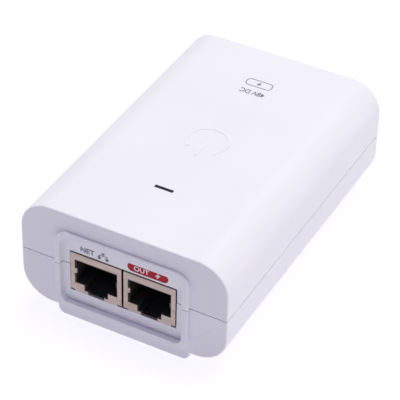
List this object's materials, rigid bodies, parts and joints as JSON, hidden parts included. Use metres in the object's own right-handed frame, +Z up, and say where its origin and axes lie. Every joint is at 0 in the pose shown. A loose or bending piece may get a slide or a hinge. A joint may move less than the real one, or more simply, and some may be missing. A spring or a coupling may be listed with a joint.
{
  "type": "poe injector",
  "caption": "Rounded mains power brick that adds power to a network cable, with shielded network sockets at one end and a mains inlet at the other.",
  "frame": {"origin": "centre of the footprint, on the surface that the feet stand on", "axes": "+Z up; -Y out of the end with the network sockets, +Y out of the end with the mains inlet; +X to the right when facing the sockets"},
  "size_m": [0.06, 0.0922, 0.0345],
  "materials": {
    "print_grey": "printed ink",
    "print_red": "printed ink",
    "print_white": "printed ink",
    "label_ink": "printed ink",
    "cover_plastic": "fine satin texture, cool white",
    "case_plastic": "fine satin texture, cool white",
    "foot_rubber": "matt",
    "label_film": "satin film, blank panels",
    "screw_steel": "zinc plated",
    "light_pipe": "smoked, unlit",
    "led_resin": "water-clear resin",
    "shield_metal": "tinned sheet, satin",
    "socket_plastic": "black moulded",
    "gold_contact": "gold plated",
    "board_laminate": "green solder mask",
    "insulation_film": "milky film",
    "inlet_plastic": "black moulded",
    "inlet_pin_metal": "nickel plated",
    "fuse_body": "moulded box",
    "thermistor_coat": "dipped",
    "noise_capacitor_box": "moulded box",
    "choke_core": "powder coated ferrite",
    "copper_winding": "enamelled copper",
    "moulded_black": "moulded epoxy",
    "capacitor_sleeve_blue": "shrink sleeve",
    "capacitor_sleeve_dark": "shrink sleeve",
    "heat_sink_metal": "milled sheet",
    "transistor_body": "moulded epoxy on a metal tab",
    "ferrite": "ground ferrite",
    "bobbin_plastic": "moulded",
    "winding_tape": "polyester tape",
    "optocoupler_body": "moulded epoxy",
    "safety_capacitor_coat": "dipped"
  },
  "bodies": {
    "injector": {"top_cover": "cover_plastic", "bottom_case": "case_plastic", "rubber_feet": "foot_rubber", "rating_label": "label_film", "case_screws": "screw_steel", "board_screws": "screw_steel", "transistor_screw": "screw_steel", "light_pipe": "light_pipe", "power_led": "led_resin", "left_jack_shield": "shield_metal", "right_jack_shield": "shield_metal", "left_jack_housing": "socket_plastic", "right_jack_housing": "socket_plastic", "left_jack_tails": "gold_contact", "right_jack_tails": "gold_contact", "circuit_board": "board_laminate", "insulation_sheet": "insulation_film", "inlet_housing": "inlet_plastic", "line_pin": "inlet_pin_metal", "neutral_pin": "inlet_pin_metal", "earth_pin": "inlet_pin_metal", "fuse": "fuse_body", "inrush_thermistor": "thermistor_coat", "noise_capacitor": "noise_capacitor_box", "choke_core": "choke_core", "choke_windings": "copper_winding", "output_inductor_winding": "copper_winding", "bridge_rectifier": "moulded_black", "output_diode": "moulded_black", "data_transformers": "moulded_black", "control_chips": "moulded_black", "chip_resistors": "moulded_black", "bulk_capacitor": "capacitor_sleeve_blue", "output_capacitors": "capacitor_sleeve_dark", "heat_sink": "heat_sink_metal", "switching_transistor": "transistor_body", "transformer_core": "ferrite", "output_inductor_core": "ferrite", "transformer_bobbin": "bobbin_plastic", "transformer_winding": "winding_tape", "optocoupler": "optocoupler_body", "safety_capacitor": "safety_capacitor_coat"},
    "left_contacts": {"left_contact_wires": "gold_contact"},
    "right_contacts": {"right_contact_wires": "gold_contact"}
  },
  "joints": [
    {"name": "left_contacts_flex", "type": "hinge", "parent": "injector", "child": "left_contacts", "pos_m": [-0.00782, -0.04215, 0.02122], "axis": [1, 0, 0], "range_deg": [0, 10], "stiffness_Nm_per_rad": 0.3},
    {"name": "right_contacts_flex", "type": "hinge", "parent": "injector", "child": "right_contacts", "pos_m": [0.00782, -0.04215, 0.02122], "axis": [1, 0, 0], "range_deg": [0, 10], "stiffness_Nm_per_rad": 0.3}
  ]
}
